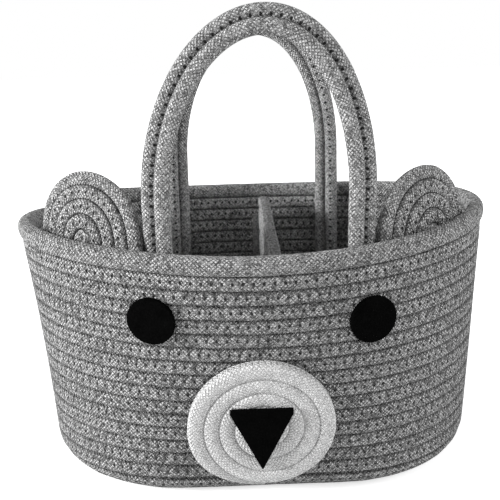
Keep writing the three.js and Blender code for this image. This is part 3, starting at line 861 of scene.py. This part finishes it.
# Values given for -1 and 1 are for the left and the right
earLook = {
    **spiralLook, "radius": 47.0, "pitch": 9.9, "wide": 5.05, "seed": 31, "seat": 0.7, "handleGap": 1.0,
    "above": {-1: 1.5, 1: -2.5},  # the centre's distance above the rim's middle line
    "lean": {-1: 27.0, 1: 21.0}, "leanPower": 1.7,
    "sheet": (-60.0, 80.0), "sheetPoints": 280, "spread": 0.05,
}
muzzleLook = {
    **spiralLook, "radius": 48.7, "pitch": 10.3, "x": 0.0, "height": 60.2, "seat": 0.3, "wide": 5.5,
    "squareness": 4.0, "stitch": whiteLay["stitch"], "dent": 0.0, "taper": 60.0, "tip": 0.35, "tuck": 1,
}
noseLook = {
    "x": -2.4, "top": 78.3, "width": 41.5, "height": 48.0, "cut": 3.4, "corner": 0.8, "thick": 3.0,
    "edge": 0.6, "cornerPoints": 6, "sidePoints": 14,
}
eyeLook = {
    "diameter": 32.5, "spacing": 138.5, "heights": {-1: 134.5, 1: 129.8}, "thick": 3.0, "edge": 0.7,
    "points": 72,
}
feltLook = {"edgePoints": 5, "rings": (0.33, 0.66), "sharpest": 0.4}
earDepth = rimRadius + earLook["seat"] + earLook["thick"]


# An Archimedean spiral that ends at the bottom, anticlockwise as its face is seen:
# reach = pitch * turns, as far out as the radius asks half a turn before the end
def spiral(look):
    start, end = look["pitch"] * look["start"], look["radius"] - ropeRadius + look["pitch"] / 2
    turns = np.linspace(start, end, look["spiralPoints"]) / look["pitch"]
    angle = (turns - turns[-1]) * 2 * math.pi - math.pi / 2
    reach = turns * look["pitch"]
    return reach * np.cos(angle), reach * np.sin(angle), reach


# The stitches of a spiral, told by length on this turn and by length on the turn before
def spiralSewn(points, reach, look):
    length = lengthsAlong(points)
    before = np.interp(reach - look["pitch"], reach, length)
    outer = np.where(reach > reach[-1] - look["pitch"], noStitch, length / look["stitch"])
    inner = np.where(reach < reach[0] + look["pitch"], noStitch, before / look["stitch"] + 0.5)
    return np.stack([outer, inner], 1)


# A place some depth inside the wall's middle surface
def insideWall(step, distance, depth):
    return wallAt(step, distance) - outOfWall(step, distance) * depth


# Steps along a surface at one height that cover a length, found in short strides
def stepAfter(step, distance, length, surface):
    strides, reach = 40, 0.01
    for _ in range(strides):
        ahead, behind = surface(step + reach, distance), surface(step - reach, distance)
        stretch = np.linalg.norm(ahead - behind, axis=-1)
        step = step + length / strides * 2 * reach / stretch
    return step


# The step of the front or back wall at which a surface inside the wall has some x
def stepAtX(x, distance, depth, side=-1):
    middle = basket["straightSteps"] / 2 + (loopSteps / 2 if side < 0 else 0)
    steps = np.linspace(middle - loopSteps / 4, middle + loopSteps / 4, basket["searchPoints"])
    xs = insideWall(steps, distance, depth)[:, 0]
    order = np.argsort(xs)
    return np.interp(x, xs[order], steps[order])


# The ears' surface: inside the wall, and above the rim drawn in by lean * share ** power
def earSurface(towards):
    def surface(step, distance):
        above = np.maximum(distance - rimDistance + ropeRadius, 0) / earLook["radius"]
        inwards = earLook["lean"][towards] * above ** earLook["leanPower"]
        level = unit(outOfWall(step, distance) * [1, 1, 0])
        return insideWall(step, distance, earDepth) - level * inwards[..., None]

    return surface


# The spiral laid on that surface by lengths measured along it. The rope is as wide there as
# the surface spreads the spiral's turns.
def makeEar(name, node, towards):
    innerX = towards * (handleLook["halfSpan"] + earLook["handleGap"]) + middleX
    centreDistance = rimDistance + earLook["above"][towards]
    surface = earSurface(towards)
    innerStep = stepAtX(innerX, centreDistance, earDepth)
    toCentre = towards * earLook["radius"] + earLook["pitch"] / 4
    centreStep = stepAfter(innerStep, centreDistance, toCentre, surface)
    distances = np.linspace(*earLook["sheet"], earLook["sheetPoints"]) + centreDistance
    lengths = lengthsAlong(surface(centreStep, distances))
    lengths = lengths - np.interp(centreDistance, distances, lengths)

    def laid(right, rise):
        distance = np.interp(rise, lengths, distances)
        return stepAfter(centreStep, distance, right, surface), distance

    right, rise, reach = spiral(earLook)
    step, distance = laid(right, rise)
    points = surface(step, distance)
    sideways = surface(step + stepNudge, distance) - surface(step - stepNudge, distance)
    upwards = surface(step, distance + distanceNudge) - surface(step, distance - distanceNudge)
    outs = unit(np.cross(sideways, upwards))
    spread = earLook["spread"]
    near, far = (surface(*laid(right * share, rise * share)) for share in (1 - spread, 1 + spread))
    rows = np.cross(outs, unit(np.gradient(points, axis=0)))
    widths = abs(np.sum((far - near) * rows, 1)) / (2 * spread * np.hypot(right, rise))
    widths = np.where(reach > earLook["pitch"], widths, 1)
    look = {**earLook, "seed": earLook["seed"] + towards}
    ear = ropeMesh(name, points, outs, look, spiralSewn(points, reach, earLook), widths)
    dress(ear, ropePaint["earRope"], "grey_rope", "basket", node)


# The front wall's slanting plane: across it, up it and out of it, and a place on it
frontAxes = np.array([
    [1.0, 0, 0], [0, -math.sin(slant), math.cos(slant)], [0, -math.cos(slant), -math.sin(slant)]])


def onFrontSlant(x, height, standOff):
    foot = np.array([x, -slantDepth, slantHeight])
    return foot + frontAxes[1] * (height - slantHeight) / math.cos(slant) + frontAxes[2] * standOff


# The spiral laid flat on that plane, in front of the wall's rope
def makeMuzzle():
    standOff = 2 * ropeRadius + muzzleLook["seat"]
    centre = onFrontSlant(muzzleLook["x"] + middleX, muzzleLook["height"], standOff)
    right, rise, reach = spiral(muzzleLook)
    points = centre + right[:, None] * frontAxes[0] + rise[:, None] * frontAxes[1]
    outs = np.broadcast_to(frontAxes[2], points.shape)
    muzzle = ropeMesh("muzzleRope", points, outs, muzzleLook, spiralSewn(points, reach, muzzleLook))
    dress(muzzle, ropePaint["whiteRope"], "white_rope", "basket", "muzzle_coil")


# A flat piece with rounded edges: the outline drawn in along a quarter circle at both faces.
# The axes point across it, up it and out of its face.
def feltPiece(name, outline, centre, axes, look):
    ahead = unit(np.roll(outline, -1, 0) - outline)
    behind = unit(outline - np.roll(outline, 1, 0))
    inward = unit(np.stack([-(ahead + behind)[:, 1], (ahead + behind)[:, 0]], 1))
    square = np.sum(inward * np.stack([-ahead[:, 1], ahead[:, 0]], 1), 1)
    inward = inward / np.maximum(square, feltLook["sharpest"])[:, None]
    quarter = np.linspace(0, math.pi / 2, feltLook["edgePoints"])
    edge = outline + inward * (look["edge"] * (1 - np.sin(quarter)))[:, None, None]
    middle = outline.mean(0)
    rings = np.array(feltLook["rings"])
    half = np.concatenate([middle + (edge[0] - middle) * rings[:, None, None], edge])
    heights = look["thick"] / 2 - look["edge"] * (1 - np.cos(quarter))
    heights = np.concatenate([np.full(len(rings), look["thick"] / 2), heights])
    flat = np.concatenate([half, half[::-1]])
    levels = np.concatenate([-heights, heights[::-1]])[:, None, None]
    place = centre + flat[..., :1] * axes[0] + flat[..., 1:] * axes[1] + levels * axes[2]
    return tubeObject(name, place, np.arange(len(place), dtype=float), unsewn(len(place)))


# A round disc about the middle of its solid, square to the wall's outward direction
def makeEye(name, node, towards):
    distance = slantStart + (eyeLook["heights"][towards] - slantHeight) / math.cos(slant)
    step = stepAtX(towards * eyeLook["spacing"] / 2 + middleX, distance, 0)
    out = outOfWall(step, distance)
    low, high = (np.array(c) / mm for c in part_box(node))
    across = unit(np.cross([0, 0, 1], out))
    turn = np.linspace(0, 2 * math.pi, eyeLook["points"], endpoint=False)
    outline = np.stack([np.cos(turn), np.sin(turn)], 1) * eyeLook["diameter"] / 2
    eye = feltPiece(name, outline, (low + high) / 2, (across, np.cross(out, across), out), eyeLook)
    dress(eye, clothPaint["felt"], "black_felt", "basket", node)


# A triangle on its point with its upper corners cut upright, and each corner a short curve
def makeNose():
    half, deep, cut = noseLook["width"] / 2, noseLook["height"], noseLook["cut"]
    corners = np.array([[half, 0], [-half, 0], [-half, -cut], [0, -deep], [half, -cut]])
    pieces = []
    share = np.linspace(0, 1, noseLook["cornerPoints"])[:, None]
    onward = np.linspace(0, 1, noseLook["sidePoints"])[1:-1, None]
    for k, corner in enumerate(corners):
        before, after = corners[k - 1], corners[(k + 1) % len(corners)]
        start = corner + unit(before - corner) * noseLook["corner"]
        end = corner + unit(after - corner) * noseLook["corner"]
        pieces.append((1 - share) ** 2 * start + 2 * share * (1 - share) * corner + share ** 2 * end)
        pieces.append(lerp(end, after - unit(after - corner) * noseLook["corner"], onward))
    standOff = 3 * ropeRadius + 2 * muzzleLook["seat"] + noseLook["thick"] / 2
    centre = onFrontSlant(noseLook["x"] + middleX, noseLook["top"], standOff)
    nose = feltPiece("noseFelt", np.concatenate(pieces), centre, frontAxes, noseLook)
    dress(nose, clothPaint["felt"], "black_felt", "basket", "nose")


for side, towards in (("left", -1), ("right", 1)):
    makeEar(side + "Ear", side + "_ear", towards)
    makeEye(side + "EyeFelt", side + "_eye", towards)
makeMuzzle()
makeNose()
print("ears and face made")


# Handles: two ropes side by side, sewn together and down the inside of the wall

# Where a rope that lies inside the wall has its middle, at some x
def wallContact(x, distance, side, depth):
    return insideWall(stepAtX(x, distance, depth, side), distance, depth)


# The hinge of a handle, in millimetres
def hingeOf(handle):
    return np.array(next(j["pos_m"] for j in frame["joints"] if j["name"] == handle + "_tip")) / mm


# How far a handle leans to the right at a height: lean * share ** 2, from the hinge to the top
def leanAt(height):
    hinge = hingeOf("front_handle")[2]
    share = np.clip((height - hinge) / (handleLook["top"] - hinge), 0, 1)
    return middleX + handleLook["lean"] * share ** 2


# Up the inside of the wall, up to the spring line, then half an ellipse. The feet follow the wall,
# and above the rim the rope comes into one plane and spreads a little outwards.
# The outer rope of the two lies behind the inner one.
def archRope(index, side):
    look = handleLook
    halves = look["halfSpan"] - look["wide"]
    half = halves - index * look["pitch"]
    rise = look["top"] - look["spring"] - look["wide"] - index * look["pitch"]
    depth = look["thick"] + look["clear"] + look["behind"] * (1 - index)
    planes = [wallContact(end * halves + middleX, rimDistance, side, rimRadius + depth)[1]
              for end in (-1, 1)]

    def planeAt(x, height):
        share = np.clip((height - rimLine) / (look["spring"] - rimLine), 0, 1)
        return lerp(*planes, (x + halves) / (2 * halves)) + side * look["splay"] * share

    legs = []
    downs = np.linspace(look["leg"], basket["rimRope"], look["legPoints"])
    for end in (-1, 1):
        x = end * half + middleX
        rows = [wallContact(x, rimDistance - down, side, ropeRadius + depth) for down in downs]
        rim = wallContact(x, rimDistance, side, rimRadius + depth)
        overRim, underSpring = look["shaft"]
        heights = np.linspace(rim[2] + overRim, look["spring"] - underSpring, look["shaftPoints"])
        share = eased((heights - heights[0]) / (heights[-1] - heights[0]))
        y = lerp(rim[1], planeAt(end * half, heights), share)
        legs.append(np.concatenate([rows, np.stack([end * half + leanAt(heights), y, heights], 1)]))
    angle = np.linspace(math.pi, 0, look["archPoints"])
    height = look["spring"] + rise * np.sin(angle)
    x = half * np.cos(angle)
    arch = np.stack([x + leanAt(height), planeAt(x, height), height], 1)
    return np.concatenate([legs[0], arch, legs[1][::-1]])


# Each point drawn to the middle of its neighbours, to round the corners of a path
def smoothed(points, rounds):
    for _ in range(rounds):
        points[1:-1] = points[1:-1] / 2 + (points[:-2] + points[2:]) / 4
    return points


# The stitches that join the two ropes lie on the outer one, on its side towards the inner one
def makeHandle(handle, side):
    cad = handle.replace("Handle", "_handle")
    start, end = ((0, hingeOf(cad)[1] * mm, height * mm) for height in handleLook["bend"])
    for index, layer in enumerate(("outer", "inner")):
        points = resampled(archRope(index, side), handleLook["pathSpacing"])[1][0]
        points = smoothed(points, handleLook["rounds"])
        sewn = unsewn(len(points))
        if layer == "outer":
            stitches = round(lengthsAlong(points)[-1] / handleLook["stitch"])
            towardsInner = 1 if side < 0 else 0
            sewn[:, towardsInner] = np.linspace(0, 1, len(points)) * stitches
        look = {**handleLook, "seed": handleLook["seed"] + index}
        outs = np.broadcast_to([0.0, side, 0.0], points.shape)
        rope = ropeMesh(f"{handle}{layer.capitalize()}Rope", points, outs, look, sewn)
        dress(rope, ropePaint["handleRope"], "grey_rope", None, f"{cad}_{layer}_rope",
              f"{cad}_left_{layer}_leg", f"{cad}_right_{layer}_leg")
        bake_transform(rope)
        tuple(start)
        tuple(end)


for handle, side in (("frontHandle", -1), ("backHandle", 1)):
    makeHandle(handle, side)
print("handles made")


# Divider: one rope folded to and fro, with its hook-and-loop strips

dividerLook = {
    **spiralLook, "x": 10.0, "top": 170.0, "tape": 1.5, "seat": 0.3, "sides": 16, "spacing": 1.5,
    "turnPoints": 9, "rowGap": 0.02, "seed": 51,
}
foldLow = floorLine + 2 * ropeRadius + dividerLook["seat"]
foldTop = dividerLook["top"] - ropeRadius
folds = math.floor((foldTop - foldLow) / (basket["rope"] + basket["gap"]))
foldStep = (foldTop - foldLow) / folds


# How far the folds may reach at a height, short of the strips on the wall
def dividerReach(height, side):
    distance = max(slantStart + (height - foldStep - slantHeight) / math.cos(slant), bendStart)
    step = stepAtX(dividerLook["x"] + middleX, distance, 0, side)
    stack = 2 * dividerLook["tape"] + 3 * dividerLook["seat"]
    wall = abs(wallAt(step, distance)[1]) - ropeRadius / math.cos(slant)
    return wall - stack - ropeRadius - foldStep / 2


# Level rows joined by half circles, at the front and the back by turns
def makeDivider():
    angle = np.linspace(-math.pi / 2, math.pi / 2, dividerLook["turnPoints"])
    path = [[(dividerReach(foldLow, 1), foldLow)]]
    side = 1
    for fold in range(folds):
        side = -side
        middle = foldLow + (fold + 0.5) * foldStep
        y = side * (dividerReach(middle, side) + foldStep / 2 * np.cos(angle))
        path.append(np.stack([y, middle + foldStep / 2 * np.sin(angle)], 1))
    path.append([(-side * (dividerReach(foldTop, -side) + ropeRadius), foldTop)])
    points = np.insert(np.concatenate(path), 0, dividerLook["x"] + middleX, axis=1)
    outs = np.broadcast_to([1.0, 0, 0], points.shape)
    look = {**dividerLook, "wide": foldStep / 2 - dividerLook["rowGap"]}
    rope = ropeMesh("dividerRope", points, outs, look)
    dress(rope, ropePaint["greyRope"], "grey_rope", "divider", "divider_panel")


def paintStrips():
    for end in ("front", "back"):
        for kind in ("loop", "hook"):
            tape = frame["nodes"][f"{end}_{kind}_strip"]
            tape.data.materials.clear()
            tape.data.materials.append(clothPaint[f"{kind}Tape"])


makeDivider()
paintStrips()
print("divider made")
